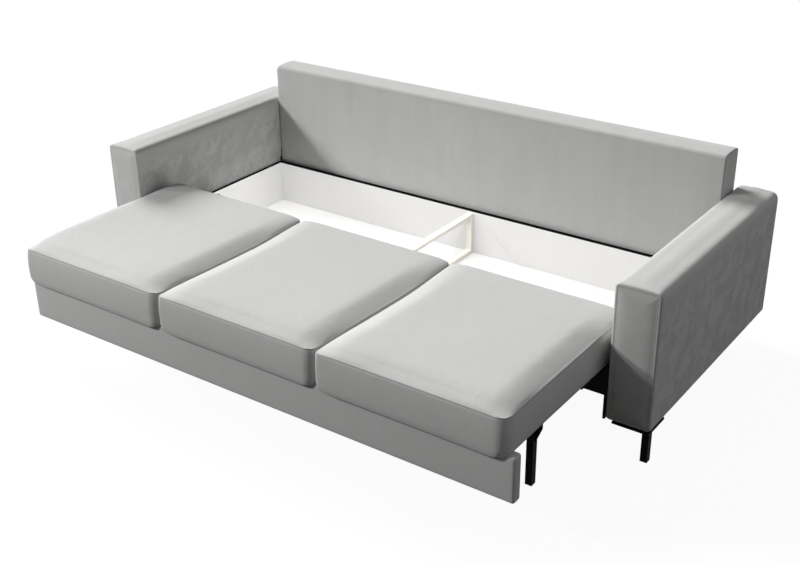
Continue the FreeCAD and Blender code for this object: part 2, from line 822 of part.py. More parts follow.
def build_back():
    flat_half = back_half - back_end_edge
    sections = [
        back_outline(-back_half, back_end_edge),
        back_outline(-flat_half, 0),
        back_outline(flat_half, 0),
        back_outline(back_half, back_end_edge),
    ]
    pad = Part.makeLoft(sections, True, True)
    frame_half = back_half - back_cover
    frame_y = (back_front + back_frame_front, back_front + back_frame_front + back_frame_thickness)
    frame_z = (back_bottom + back_cover, back_top - back_front_edge)
    room = slab((-frame_half, frame_half), frame_y, frame_z)
    pad = pad.cut(room)
    holes = Part.makeCompound([both_ends(Part.makeCompound(ear_screws(fixing_slack)))])
    pad = pad.cut(holes)
    save("back_padding", pad)
    slack = back_frame_slack
    frame = slab(
        (-frame_half, frame_half),
        (frame_y[0] + slack, frame_y[1] - slack),
        (frame_z[0], frame_z[1] - slack),
    )
    window_z = (frame_z[0] + back_frame_rail, frame_z[1] - back_frame_rail)
    bay = (2 * frame_half - back_frame_rail) / 3
    for number in range(3):
        low = -frame_half + back_frame_rail + number * bay
        window = slab(
            (low, low + bay - back_frame_rail),
            (frame_y[0] - overrun, frame_y[1] + overrun),
            window_z,
        )
        frame = frame.cut(window)
    save("back_frame", frame.cut(holes))
    disc_start = Vector(back_half, back_front, pivot_height)
    along = Vector(1, 0, 0)
    disc = rod(disc_start, along, ear_radius, ear_thickness)
    body = slab(
        (back_half, back_half + ear_thickness),
        (back_front, back_front + ear_depth + back_frame_thickness / 2),
        (pivot_height - ear_radius, pivot_height + ear_height),
    )
    ear = disc.fuse(body).removeSplitter()
    ear = ear.cut(rod(disc_start, along, pivot_radius + hole_slack, ear_thickness))
    ear = ear.cut(Part.makeCompound(ear_screws(fixing_slack)))
    save_pair("back_ear", ear)
    save("ear_screws", both_ends(Part.makeCompound(ear_screws(0))))


os.makedirs("parts", exist_ok=True)
build_arms()
build_feet()
build_box()
build_divider()
build_rails()
build_cushions()
build_seat_frame()
build_apron()
build_legs()
build_back()
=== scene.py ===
# %% [markdown]
# A sofa bed, drawn out for the night, with its bedding box open.
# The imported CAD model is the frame: it fixes every size and every joint.
# This file gives the frame its upholstery, its finishes and its light.
# All lengths are in metres. X runs along the sofa, +Y to the back, +Z up.

# %% Load the frame
import math

import bmesh
import bpy
import numpy as np
from mathutils import Matrix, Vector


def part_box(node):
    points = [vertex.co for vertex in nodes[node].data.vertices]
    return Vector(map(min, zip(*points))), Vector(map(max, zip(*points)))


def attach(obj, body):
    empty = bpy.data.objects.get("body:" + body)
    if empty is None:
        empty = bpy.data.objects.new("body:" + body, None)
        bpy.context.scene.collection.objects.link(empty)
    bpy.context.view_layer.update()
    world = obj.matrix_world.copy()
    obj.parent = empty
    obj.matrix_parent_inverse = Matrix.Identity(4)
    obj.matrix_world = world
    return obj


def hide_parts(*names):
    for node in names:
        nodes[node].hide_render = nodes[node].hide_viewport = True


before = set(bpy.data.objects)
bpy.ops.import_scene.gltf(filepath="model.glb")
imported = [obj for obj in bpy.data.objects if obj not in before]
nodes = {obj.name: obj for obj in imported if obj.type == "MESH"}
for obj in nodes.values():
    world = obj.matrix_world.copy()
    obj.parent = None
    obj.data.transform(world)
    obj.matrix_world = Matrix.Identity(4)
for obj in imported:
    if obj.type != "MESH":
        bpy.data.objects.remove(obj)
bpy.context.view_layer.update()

print("The frame has", len(nodes), "nodes")

# %% [markdown]
# The camera comes first, because everything else is judged through it.
# The photograph was taken from the front right and well above the seat.
# Its place and its three turns were fitted to the straight edges of the sofa.
# A camera looks along its own minus Z, so its matrix holds right, up and backwards.

# %% Camera
CAMERA_PLACE = (2.4666, -3.3074, 2.2831)
CAMERA_YAW = -0.6230
CAMERA_PITCH = -0.4600
CAMERA_ROLL = -0.0132
CAMERA_LENS = 53.19
CAMERA_REACH = 200


def camera_axes(yaw, pitch, roll):
    """Right, up and forward: yaw and pitch give forward, and the roll turns the others about it."""
    forward = np.array([
        math.sin(yaw) * math.cos(pitch),
        math.cos(yaw) * math.cos(pitch),
        math.sin(pitch),
    ])
    right = np.cross(forward, [0, 0, 1])
    right /= np.linalg.norm(right)
    up = np.cross(right, forward)
    turned_right = math.cos(roll) * right + math.sin(roll) * up
    turned_up = math.cos(roll) * up - math.sin(roll) * right
    return turned_right, turned_up, forward


def stand_at(thing, place, right, up, forward):
    """Place a lamp or camera; both look along their own minus Z."""
    matrix = np.eye(4)
    matrix[:3, 0] = right
    matrix[:3, 1] = up
    matrix[:3, 2] = -forward
    matrix[:3, 3] = place
    thing.matrix_world = Matrix(matrix.tolist())


def add_camera():
    """The photograph's camera, with a far clip beyond the studio floor."""
    data = bpy.data.cameras.new("camera")
    data.lens = CAMERA_LENS
    data.clip_end = CAMERA_REACH
    camera = bpy.data.objects.new("camera", data)
    stand_at(camera, CAMERA_PLACE, *camera_axes(CAMERA_YAW, CAMERA_PITCH, CAMERA_ROLL))
    bpy.context.scene.collection.objects.link(camera)
    bpy.context.scene.camera = camera


add_camera()
bpy.context.scene.view_settings.view_transform = "Standard"
print("The camera stands at", CAMERA_PLACE)

# %% [markdown]
# Shader maths reads best as sums. A Field stands for a number that changes over
# a surface: adding or multiplying two of them adds a Math node behind the scenes.
# A Finish is one material, or the world. Its node method makes any other node in one
# line, and its close method ends the recipe.


# %% Fields and finishes
MIX_SHARE = 0
MIX_FIRST = 6
MIX_SECOND = 7
MIX_COLOR = 2


class Field:
    """A socket that gives a number at every point, with the usual signs."""

    def __init__(self, finish, socket):
        self.finish = finish
        self.socket = socket

    def combine(self, operation, first, second):
        """One Math node with two inputs, each a field or a number."""
        return self.finish.node("ShaderNodeMath", {0: first, 1: second}, operation=operation)

    def __add__(self, other):
        return self.combine("ADD", self, other)

    def __sub__(self, other):
        return self.combine("SUBTRACT", self, other)

    def __rsub__(self, other):
        return self.combine("SUBTRACT", other, self)

    def __mul__(self, other):
        return self.combine("MULTIPLY", self, other)

    __radd__ = __add__
    __rmul__ = __mul__

    def steps(self, low, high):
        """0 below low, 1 above high, and a smooth rise between them."""
        inputs = {"Value": self, "From Min": low, "From Max": high}
        return self.finish.node("ShaderNodeMapRange", inputs, interpolation_type="SMOOTHSTEP")


class Finish:
    """One material, or the world, made node by node."""

    def __init__(self, name, world=False):
        self.owner = (bpy.data.worlds if world else bpy.data.materials).new(name)
        self.owner.use_nodes = True
        self.tree = self.owner.node_tree
        self.tree.nodes.clear()

    def feed(self, socket, value):
        """Link a field to a socket, or set the socket to a plain value."""
        if isinstance(value, Field):
            self.tree.links.new(value.socket, socket)
        else:
            socket.default_value = value

    def node(self, kind, inputs=None, output=0, **settings):
        """Any node: its type, its settings, then what goes into its sockets."""
        made = self.tree.nodes.new(kind)
        for name, value in settings.items():
            setattr(made, name, value)
        for name, value in (inputs or {}).items():
            self.feed(made.inputs[name], value)
        return Field(self, made.outputs[output])

    def place(self, stretch=(1, 1, 1), turn=(0, 0, 0)):
        """Object coordinates, first turned and then squeezed along each axis."""
        coordinates = self.node("ShaderNodeTexCoord", output="Object")
        scale = tuple(1 / share for share in stretch)
        inputs = {"Vector": coordinates, "Scale": scale, "Rotation": turn}
        return self.node("ShaderNodeMapping", inputs, vector_type="TEXTURE")

    def noise(self, scale, detail=3.0, stretch=(1, 1, 1), rough=0.5, warp=0.0, turn=(0, 0, 0)):
        """A cloudy number about a half, scale patches to the metre."""
        inputs = {
            "Vector": self.place(stretch, turn),
            "Scale": scale,
            "Detail": detail,
            "Roughness": rough,
            "Distortion": warp,
        }
        return self.node("ShaderNodeTexNoise", inputs)

    def mark(self, name):
        """A number that a piece carries at its points, such as its seam."""
        return self.node("ShaderNodeAttribute", output="Fac", attribute_name=name)

    def seen(self):
        """1 for a ray from the camera, a mirror or glass, and 0 for light that falls on things."""
        rays = ("Is Camera Ray", "Is Glossy Ray", "Is Transmission Ray")
        camera, glossy, through = [self.node("ShaderNodeLightPath", output=ray) for ray in rays]
        return (camera + glossy + through).steps(0, 1)

    def blend(self, share, first, second, way="MIX"):
        """A colour between two others, or the two multiplied."""
        inputs = {MIX_SHARE: share, MIX_FIRST: first, MIX_SECOND: second}
        settings = {"data_type": "RGBA", "blend_type": way}
        return self.node("ShaderNodeMix", inputs, output=MIX_COLOR, **settings)

    def shade(self, color, level):
        """A colour times a number, as a grey on all three channels."""
        grey = self.node("ShaderNodeCombineColor", {0: level, 1: level, 2: level})
        return self.blend(1.0, color, grey, "MULTIPLY")

    def bump(self, height, distance, strength=1.0, under=None):
        """A height turned into slopes, on top of another bump if one is given."""
        inputs = {"Height": height, "Distance": distance, "Strength": strength}
        if under is not None:
            inputs["Normal"] = under
        return self.node("ShaderNodeBump", inputs)

    def done(self, **sockets):
        """End with a Principled shader; the names of its sockets use _ for a space."""
        inputs = {name.replace("_", " "): value for name, value in sockets.items()}
        return self.close(self.node("ShaderNodeBsdfPrincipled", inputs))

    def close(self, shader, output="ShaderNodeOutputMaterial"):
        """Send a shader to the output, and give the material or world back."""
        made = self.tree.nodes.new(output)
        self.tree.links.new(shader.socket, made.inputs["Surface"])
        return self.owner


print("Fields and finishes are ready")

# %% [markdown]
# The cover is a pale grey velvet. Its short nap lies this way and that, so broad
# patches are a little lighter or darker, and a brushed hand leaves soft streaks.
# The arms' sides are brushed most, where their "brushed" mark is one.
# Seams are painted darker, as painted shade in their shallow groove. The pieces carry a "seam" mark
# for that, one at the stitch line and zero away from it. The nap also glows at the rim, which is
# sheen.


# %% Velvet
VELVET_GREY = (0.600, 0.603, 0.592, 1)
SIDE_GREY = (0.590, 0.593, 0.582, 1)
LINING_BLACK = (0.02, 0.02, 0.02, 1)
SHEEN_WHITE = (0.95, 0.95, 0.93, 1)
BRUSH_TURN = (0.9, 0, 0)
BRUSH_STRETCH = (1, 0.72, 1)
NAP_LEVEL = 0.10
# How much painted shade darkens the velvet where the seam mark is one.
SEAM_PAINTED_SHADE = 0.36


def velvet(name, color, patches, streaks, crushed):
    """Base colour times soft patches, brushed streaks and crushed spots, with painted shade in the
    seams.
    """
    finish = Finish(name)
    broad = finish.noise(2.3, 4, warp=0.6)
    patch = finish.noise(11, 3, rough=0.55, warp=1.2)
    streak = finish.noise(16, 2, stretch=(1, 1, 0.16), warp=0.4)
    spot = finish.noise(17, 6, BRUSH_STRETCH, rough=0.70, warp=0.7, turn=BRUSH_TURN)
    spot = spot.steps(0.40, 0.62)
    nap = finish.noise(420, 2)
    seam, backing, brushed = [finish.mark(mark) for mark in ("seam", "backing", "brushed")]
    level = 1 + (broad - 0.5) * patches + (patch - 0.5) * patches * 0.6
    level = level + (streak - 0.5) * streaks + (spot - 0.4) * brushed * crushed
    # The seams get painted shade: the colour is darkened where the seam mark is one.
    level = (level + (nap - 0.5) * NAP_LEVEL) * (1 - seam * SEAM_PAINTED_SHADE)
    shown = finish.blend(backing, finish.shade(color, level), LINING_BLACK)
    under = finish.bump(patch + spot, 0.0012, 0.25)
    normal = finish.bump(nap, 0.0005, 0.5, under)
    return finish.done(
        Base_Color=shown,
        Roughness=0.92,
        Specular_IOR_Level=0.15,
        Sheen_Weight=0.10,
        Sheen_Roughness=0.42,
        Sheen_Tint=SHEEN_WHITE,
        Normal=normal,
    )


seat_velvet = velvet("seat_velvet", VELVET_GREY, 0.08, 0.02, 0.0)
back_velvet = velvet("back_velvet", VELVET_GREY, 0.11, 0.12, 0.0)
arm_velvet = velvet("arm_velvet", SIDE_GREY, 0.10, 0.02, 0.20)
print("Velvets:", seat_velvet.name, back_velvet.name, arm_velvet.name)

# %% [markdown]
# The hard parts keep their CAD meshes and only get a finish. Steel is painted
# satin black or left bare, boards are black or white laminate, and the frames
# are pale softwood whose grain runs along each piece.


# %% Hard finishes
GRAIN_SQUEEZE = 0.06


def painted(name, color, rough, fleck, gloss):
    """An even paint or laminate: a faint orange-peel bump and slightly uneven gloss."""
    finish = Finish(name)
    cloud = finish.noise(9, 3)
    peel = finish.noise(900, 1)
    level = 1 + (cloud - 0.5) * fleck + (peel - 0.5) * fleck
    return finish.done(
        Base_Color=finish.shade(color, level),
        Roughness=rough + (cloud - 0.5) * 0.14,
        Specular_IOR_Level=gloss,
        Normal=finish.bump(peel, 0.00012, 0.3),
    )


def timber(name, color, dark, along):
    """Softwood: long streaks of early and late growth, stretched along one axis."""
    finish = Finish(name)
    squeeze = tuple(GRAIN_SQUEEZE if axis == along else 1.0 for axis in range(3))
    rings = finish.noise(70, 3, stretch=squeeze, warp=0.5)
    pores = finish.noise(500, 2, stretch=squeeze)
    board = finish.noise(3, 2, stretch=squeeze)
    share = rings.steps(0.40, 0.66) * 0.6 + (board - 0.5) * 0.5 + (pores - 0.5) * 0.3
    return finish.done(
        Base_Color=finish.blend(share, color, dark),
        Roughness=0.62 + (rings - 0.5) * 0.15,
        Normal=finish.bump(rings + pores, 0.0003, 0.35),
    )


def bare_metal(name, color):
    """Zinc-plated steel: small crystals and a slightly uneven shine."""
    finish = Finish(name)
    crystal = finish.noise(160, 2)
    return finish.done(
        Base_Color=finish.shade(color, 1 + (crystal - 0.5) * 0.25),
        Roughness=0.36 + (crystal - 0.5) * 0.3,
        Metallic=1.0,
    )


black_steel = painted("satin_black_steel", (0.002, 0.002, 0.0022, 1), 0.55, 0.3, 0.02)
black_board = painted("black_board", (0.003, 0.003, 0.003, 1), 0.75, 0.4, 0.05)
black_plastic = painted("black_plastic", (0.010, 0.010, 0.010, 1), 0.60, 0.2, 0.12)
white_board = painted("white_board", (0.86, 0.853, 0.843, 1), 0.60, 0.02, 0.14)
PALE_WOOD = ((0.96, 0.92, 0.85, 1), (0.92, 0.86, 0.76, 1))
FRAME_WOOD = ((0.62, 0.47, 0.30, 1), (0.42, 0.28, 0.15, 1))
pale_rail = timber("pale_wood_rail", *PALE_WOOD, along=1)
pale_post = timber("pale_wood_post", *PALE_WOOD, along=2)
frame_wood_x = timber("frame_wood_long", *FRAME_WOOD, along=0)
frame_wood_y = timber("frame_wood_deep", *FRAME_WOOD, along=1)
bare_steel = bare_metal("zinc_steel", (0.62, 0.63, 0.64, 1))
FINISH_OF_SLOT = {
    "black_steel": black_steel,
    "black_board": black_board,
    "black_plastic": black_plastic,
    "white_board": white_board,
    "frame_wood": frame_wood_x,
    "light_wood": pale_rail,
    "bare_steel": bare_steel,
}
GRAIN_ALONG_DEPTH = (
    "left_seat_side_rail", "right_seat_side_rail", "left_seat_cross_rail",
    "right_seat_cross_rail", "left_arm_frame", "right_arm_frame", "rail_packers",
)


def dress_nodes():
    """Give each CAD node the finish of its slot, with the grain along the piece."""
    dressed = 0
    for name, node in nodes.items():
        slot = node.data.materials[0].name.split(".")[0]
        finish = FINISH_OF_SLOT.get(slot)
        if name.endswith("_post"):
            finish = pale_post
        if name in GRAIN_ALONG_DEPTH:
            finish = frame_wood_y
        if finish:
            node.data.materials[0] = finish
            dressed += 1
    return dressed


print("CAD nodes dressed:", dress_nodes())

# %% [markdown]
# Upholstery is a closed skin. Two ways of making one are enough here.
# A lattice is the skin of a box, ruled by lines at chosen distances, which a
# formula then rounds and swells. A wrap, which comes later, carries a profile round
# an outline, and keeps seams parallel to the edge where the outline turns a corner.


# %% Closed skins
MERGE_DISTANCE = 0.00005
SHORTEST_EDGE = 0.00001


def make_piece(name, points, faces, finish, marks=None):
    """Put arrays of points and faces into a mesh, and smooth it."""
    mesh = bpy.data.meshes.new(name)
    mesh.from_pydata(points.tolist(), [], faces.tolist())
    for mark, values in (marks or {}).items():
        layer = mesh.attributes.new(mark, "FLOAT", "POINT")
        layer.data.foreach_set("value", np.asarray(values, np.float32))
    mesh.shade_smooth()
    mesh.materials.append(finish)
    piece = bpy.data.objects.new(name, mesh)
    bpy.context.scene.collection.objects.link(piece)
    return piece


def settle(piece):
    """Merge points that fall together and turn every face outwards."""
    shape = bmesh.new()
    shape.from_mesh(piece.data)
    bmesh.ops.remove_doubles(shape, verts=shape.verts, dist=MERGE_DISTANCE)
    bmesh.ops.dissolve_degenerate(shape, edges=shape.edges, dist=SHORTEST_EDGE)
    bmesh.ops.recalc_face_normals(shape, faces=shape.faces)
    shape.to_mesh(piece.data)
    shape.free()
    piece.data.shade_smooth()
    open_edges = sum(1 for count in edge_uses(piece.data) if count != 2)
    print(piece.name, len(piece.data.polygons), "faces, open edges:", open_edges)
    return piece


def edge_uses(mesh):
    """How many faces use each edge; two everywhere on a closed skin."""
    used = np.zeros(len(mesh.loops), int)
    mesh.loops.foreach_get("edge_index", used)
    return np.bincount(used, minlength=len(mesh.edges))


def ruled(length, near_start, near_end, step):
    """Line places along a length: chosen ones near each end, and even ones between."""
    inner_low = near_start[-1]
    inner_high = length - near_end[-1]
    count = max(2, int(round((inner_high - inner_low) / step)) + 1)
    middle = np.linspace(inner_low, inner_high, count)
    low = np.array([0.0] + list(near_start[:-1]))
    high = length - np.array([0.0] + list(near_end[:-1]))[::-1]
    return np.concatenate([low, middle, high])


def box_face(axis, index, counts):
    """The four corner numbers of every cell on one side of the box's skin."""
    first, second = [other for other in range(3) if other != axis]
    grid = np.meshgrid(np.arange(counts[first]), np.arange(counts[second]), indexing="ij")
    place = np.zeros(grid[0].shape + (3,), int)
    place[..., axis] = index
    place[..., first] = grid[0]
    place[..., second] = grid[1]
    key = (place[..., 0] * counts[1] + place[..., 1]) * counts[2] + place[..., 2]
    cells = np.stack([key[:-1, :-1], key[1:, :-1], key[1:, 1:], key[:-1, 1:]], -1)
    cells = cells.reshape(-1, 4)
    outward = (index > 0) == (axis != 1)
    return cells if outward else cells[:, ::-1]


def box_lattice(lines):
    """The skin of a box ruled by lines: the three line numbers of each point, and the faces."""
    counts = [len(values) for values in lines]
    faces = [box_face(axis, index, counts) for axis in range(3) for index in (0, counts[axis] - 1)]
    keys, corners = np.unique(np.concatenate(faces), return_inverse=True)
    column = keys // counts[2]
    numbers = np.stack([column // counts[1], column % counts[1], keys % counts[2]], -1)
    return numbers, corners.reshape(-1, 4)


def rounded(first, second, half_first, half_second, radius):
    """Bend the corners of a rectangle into arcs of a radius.

    Beyond the arc's centre, the shares p and q of the way to the corner become
    p * sqrt(1 - q*q/2) and q * sqrt(1 - p*p/2), which maps a square on a quarter disc.
    """
    p = np.clip((np.abs(first) - half_first + radius) / radius, 0, 1)
    q = np.clip((np.abs(second) - half_second + radius) / radius, 0, 1)
    new_first = np.minimum(np.abs(first), half_first - radius)
    new_first = new_first + radius * p * np.sqrt(1 - q * q / 2)
    new_second = np.minimum(np.abs(second), half_second - radius)
    new_second = new_second + radius * q * np.sqrt(1 - p * p / 2)
    return np.sign(first) * new_first, np.sign(second) * new_second


print("Box skins can be ruled, rounded and closed")

# %% [markdown]
# Each seat cushion is foam under velvet, with a seam round its front and sides
# about a fifth of the way down. Above the seam the top is crowned; below it the
# sides are full, and tuck in over the apron. Its hollow underside sits on the
# seat frame. It could be sculpted by hand, but formulas keep its seams straight,
# and each number below is one feature of the photograph.

# %% Cushion numbers
# The seams: their height, and the mark of the second row of stitches, which sets its share of the
# seams' painted shade.
SEAT_HALF = 1.055
SEAM_HEIGHT = 0.417
SECOND_SEAM = 0.0093
SECOND_SEAM_MARK = 0.55
# The underside: the seat frame, and the lip and the skirt that hang over it.
FRAME_TOP = 0.371
FRAME_UNDER = 0.3125
LIP_SIDE = 0.012
LIP_FRONT = 0.050
LIP_DROP = 0.0145
LIP_DROP_DEPTH = 0.0115
LIP_TAPER = 0.065
LIP_OVERLAP = 0.0012
LIP_REAR = 0.020
SKIRT_REAR = 0.090
# The plan: round corners, and sides that the stitches tuck and draw in.
FRONT_LEFT_CORNER = 0.018
FRONT_RIGHT_CORNER = 0.044
REAR_CORNER = 0.022
FOOT_TUCK = 0.004
FOOT_TUCK_LEVEL = 0.17
FOOT_TUCK_POWER = 1.6
SEAM_TUCK = 0.0050
SEAM_TUCK_LEVEL = 0.45
TUCK_REACH = 0.008
TOP_TUCK_REACH = 0.1
DRAW = 0.002
DRAW_POWER = 8
JOINT_SHARE = 0.3
# The top: how far the crown falls to its edges, and how it lifts at the rear.
CROWN_REACH = 0.095
OPEN_LEFT_REACH = 0.045
CROWN_EDGE = 0.012
CROWN_EDGE_SHARE = 0.14
CROWN_POWER = 1.8
REAR_LIFT_SIDE = 0.009
REAR_LIFT_MIDDLE = 0.010
REAR_LIFT_DEPTH = 0.30
# The lean of the fronts to the left, and the swelling of the open left side.
LEAN = 0.017
LEAN_DEPTH = 0.55
LEAN_WIDTH = 0.6
SWELL = 0.012
RISE = 0.012
SWELL_DEPTH = 0.80
SWELL_WIDTH = 0.455
SWELL_FOOT = 0.316
SWELL_FADE = 0.04
# The lattice: its lines near each edge, its levels up the side, and two tolerances.
SIDE_LINES = (0.0025, 0.006, 0.0082, SECOND_SEAM, 0.0104, 0.012, 0.018, 0.026, 0.036, 0.048)
FRONT_LINES = (
    0.0025, 0.006, 0.0082, SECOND_SEAM, 0.0104, 0.0115, 0.018, 0.026, 0.036, 0.0465, 0.050,
)
REAR_LINES = (0.0025, 0.006, 0.011, 0.017, 0.0205, 0.030, 0.042)
FOOT_LEVELS = (0, 0.03, 0.07, 0.12, 0.18)
SEAM_LEVELS = (0.95, 0.98, 1.0)
LEVELS = np.concatenate([FOOT_LEVELS, np.linspace(0.25, 0.9, 9), SEAM_LEVELS])
HELD_LEVEL = 0.06
CELL = 0.0095
SLACK = 0.0005
ON_LINE = 0.0001
print("Levels up a cushion's side:", len(LEVELS))

# %% [markdown]
# A cushion's form is read from its box. One formula gives its underside, one the
# tuck of its sides and one its top. The last two move the whole cushion: the fronts
# crowd a little to the left, and the sofa's open left side hangs out and up.


# %% Cushion formulas
def eased(share):
    """A smooth step: 3 share**2 - 2 share**3."""
    return share ** 2 * (3 - 2 * share)


def underside(x, y, low, high, outer):
    """Height of the bottom at a place: a low lip at the front and the open side, hollow within.

    The front lip hangs lower still in front of the apron, and rises again towards the corners.
    """
    seat_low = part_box("left_seat_cushion")[0].z - LIP_OVERLAP
    bottom = np.full(x.shape, FRAME_TOP)
    bottom[y > high[1] - LIP_REAR - SLACK] = FRAME_UNDER
    if outer:
        side = high[0] if outer > 0 else low[0]
        at_side = outer * x > outer * side - LIP_SIDE + SLACK
        bottom[at_side] = np.where(y[at_side] < high[1] - SKIRT_REAR, seat_low, FRAME_UNDER)
    bottom[y < low[1] + LIP_FRONT - SLACK] = seat_low
    share = np.clip(np.minimum(x - low[0], high[0] - x) / LIP_TAPER, 0, 1)
    drop = seat_low - LIP_DROP * share * (2 - share)
    return np.where(y < low[1] + LIP_DROP_DEPTH - SLACK, drop, bottom)


def side_inset(level):
    """How far a side stands back: most at the foot, nothing in the middle, a little at the seam."""
    foot = FOOT_TUCK * np.clip(1 - level / FOOT_TUCK_LEVEL, 0, 1) ** FOOT_TUCK_POWER
    seam = SEAM_TUCK * np.clip((level - SEAM_TUCK_LEVEL) / (1 - SEAM_TUCK_LEVEL), 0, 1) ** 2
    return foot + seam


def quarter(distance):
    """A quarter circle's rise over CROWN_EDGE: sqrt(1 - (1 - share)**2)."""
    return np.sqrt(1 - (1 - np.clip(distance / CROWN_EDGE, 0, 1)) ** 2)


def fall(distance, reach):
    """A quick round-over at an edge and then a slow rise: 0 at the edge, 1 on the flat."""
    slow = 1 - (1 - np.clip(distance / reach, 0, 1)) ** CROWN_POWER
    return CROWN_EDGE_SHARE * quarter(distance) + (1 - CROWN_EDGE_SHARE) * slow


def seam_line(to_side, to_rear, reach):
    """Height of the top's edge: level at the front, and lifted towards the rear."""
    share = np.clip(1 - to_rear / REAR_LIFT_DEPTH, 0, 1)
    return SEAM_HEIGHT + eased(share) * (REAR_LIFT_SIDE + REAR_LIFT_MIDDLE * fall(to_side, reach))


def top_height(to_side, to_front, to_rear, high, reach):
    """The top falls slowly to its sides and front, and stays full up to the rear edge."""
    edge = seam_line(to_side, to_rear, reach)
    crown = fall(to_side, reach) * fall(to_front, CROWN_REACH) * quarter(to_rear)
    return edge + (high - edge) * crown


def belly(x, y, front):
    """1 halfway along the sofa's open left side, and 0 at its ends and further in."""
    along = np.sin(np.pi * np.clip((y - front) / SWELL_DEPTH, 0, 1))
    return along * np.clip((SWELL_WIDTH - SEAT_HALF - x) / SWELL_WIDTH, 0, 1) ** 2


def lean(x, y, z, front):
    """The front crowds a little to the left, except at the right-hand end; the left side swells.

    The swelling fades out at the box's rim, so that the cushion's foot still slides into the box.
    """
    forward = 1 - np.clip((y - front) / LEAN_DEPTH, 0, 1)
    side = np.clip((SEAT_HALF - x) / LEAN_WIDTH, 0, 1)
    rise = np.clip((z - SWELL_FOOT) / SWELL_FADE, 0, 1)
    return LEAN * eased(forward) * side + SWELL * belly(x, y, front) * rise


print("A side stands back by up to", side_inset(LEVELS).max(), "m")

# %% [markdown]
# The skin is a lattice, ruled closely where a seam or a corner needs it. Its plan is
# rounded and drawn in, its heights come from the formulas, and then it leans. A
# subdivided cage would need far fewer points, but its seams would drift.


# %% Cushion skin
def cushion_lattice(size):
    """Places from the middle, level up the side, line number up the side, and faces."""
    lines = [
        ruled(size[0], SIDE_LINES, SIDE_LINES, CELL),
        ruled(size[1], FRONT_LINES, REAR_LINES, CELL),
        LEVELS,
    ]
    numbers, faces = box_lattice(lines)
    x = lines[0][numbers[:, 0]] - size[0] / 2
    y = lines[1][numbers[:, 1]] - size[1] / 2
    return x, y, LEVELS[numbers[:, 2]], numbers[:, 2], faces


def drawn(across, along, width, length):
    """The stitches draw a side in by DRAW at its middle, and not at its corners."""
    return DRAW * (1 - (2 * along / length) ** 2) * (np.abs(across) / (width / 2)) ** DRAW_POWER


def cushion_piece(name, outer):
    """A cushion from its node's box; outer is -1, 0 or 1 for the side that has a skirt."""
    low, high = [np.array(corner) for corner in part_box(name)]
    size = high - low
    middle = (low + high) / 2
    x, y, level, line, faces = cushion_lattice(size)
    on_top = line == len(LEVELS) - 1
    edge = np.minimum(size[0] / 2 - np.abs(x), size[1] / 2 - np.abs(y))
    bottom = underside(x + middle[0], y + middle[1], low, high, outer)
    front_corner = np.where(x < 0, FRONT_LEFT_CORNER, FRONT_RIGHT_CORNER)
    corner = np.where(y < 0, front_corner, REAR_CORNER)
    plan_x, plan_y = rounded(x, y, size[0] / 2, size[1] / 2, corner)
    inset = side_inset(level) * np.clip(1 - edge / TUCK_REACH, 0, 1) * ~on_top
    inset = inset + SEAM_TUCK * on_top * np.clip(1 - edge / TOP_TUCK_REACH, 0, 1)
    close = np.where(np.sign(x) == outer, 1.0, JOINT_SHARE)
    shrink_x = 1 - 2 * close * (inset + drawn(plan_x, plan_y, size[0], size[1])) / size[0]
    shrink_y = 1 - 2 * (inset + drawn(plan_y, plan_x, size[1], size[0])) / size[1]
    to_side = size[0] / 2 - np.abs(plan_x)
    to_front = plan_y + size[1] / 2
    to_rear = size[1] / 2 - plan_y
    reach = np.where((outer < 0) & (x < 0), OPEN_LEFT_REACH, CROWN_REACH)
    z = bottom + (seam_line(to_side, to_rear, reach) - bottom) * level
    z = np.where(on_top, top_height(to_side, to_front, to_rear, high[2], reach), z)
    points = np.stack([middle[0] + plan_x * shrink_x, middle[1] + plan_y * shrink_y, z], -1)
    points[:, 2] += RISE * belly(points[:, 0], points[:, 1], low[1]) * level
    points[:, 0] -= lean(*points.T, low[1])
    seam = on_top & (edge < ON_LINE)
    held = (line == 0) | seam | (level < HELD_LEVEL)
    at_front = np.abs(y + size[1] / 2 - SECOND_SEAM) < ON_LINE
    at_side = (np.abs(size[0] / 2 - np.abs(x) - SECOND_SEAM) < ON_LINE) & (np.sign(x) == outer)
    second = on_top & (at_front | at_side) & (edge > SECOND_SEAM - ON_LINE)
    marks = {"seam": seam + SECOND_SEAM_MARK * second}
    piece = make_piece(name + "_cover", points, faces, seat_velvet, marks)
    return piece, points, held, seam, (low, high)


print("Cushion skins can be made")

# %% [markdown]
# A real cushion is never quite even. A short cloth simulation with air pressure
# swells the skin between its seams. Pressure alone wrinkles a fine mesh, so only
# its broad movement is kept: it is averaged over the neighbours and then limited.

# %% Air pressure
CLOTH_FRAMES = 14
AIR_PRESSURE = 2.0
SWELL_LIMIT = 0.006
SMOOTH_ROUNDS = 60
SMOOTH_SHARE = 0.6
TINY = 1e-9
CLOTH_SETTINGS = {
    "quality": 4,
    "mass": 0.25,
    "tension_stiffness": 12,
    "compression_stiffness": 12,
    "bending_stiffness": 0.4,
    "shrink_min": -0.012,
    "use_pressure": True,
    "uniform_pressure_force": AIR_PRESSURE,
    "vertex_group_mass": "held",
}


def smoothed(piece, moved, held):
    """Average each point's movement with its neighbours', in rounds; held points keep still."""
    ends = np.zeros(len(piece.data.edges) * 2, int)
    piece.data.edges.foreach_get("vertices", ends)
    first, second = ends.reshape(-1, 2).T
    count = np.bincount(ends, minlength=len(moved))[:, None]
    for _ in range(SMOOTH_ROUNDS):
        total = np.zeros_like(moved)
        np.add.at(total, first, moved[second])
        np.add.at(total, second, moved[first])
        moved = (1 - SMOOTH_SHARE) * moved + SMOOTH_SHARE * total / count
        moved[held] = 0
    return moved


def places(mesh):
    """The mesh's points as rows of x, y and z."""
    flat = np.zeros(len(mesh.vertices) * 3, np.float32)
    mesh.vertices.foreach_get("co", flat)
    return flat.reshape(-1, 3)


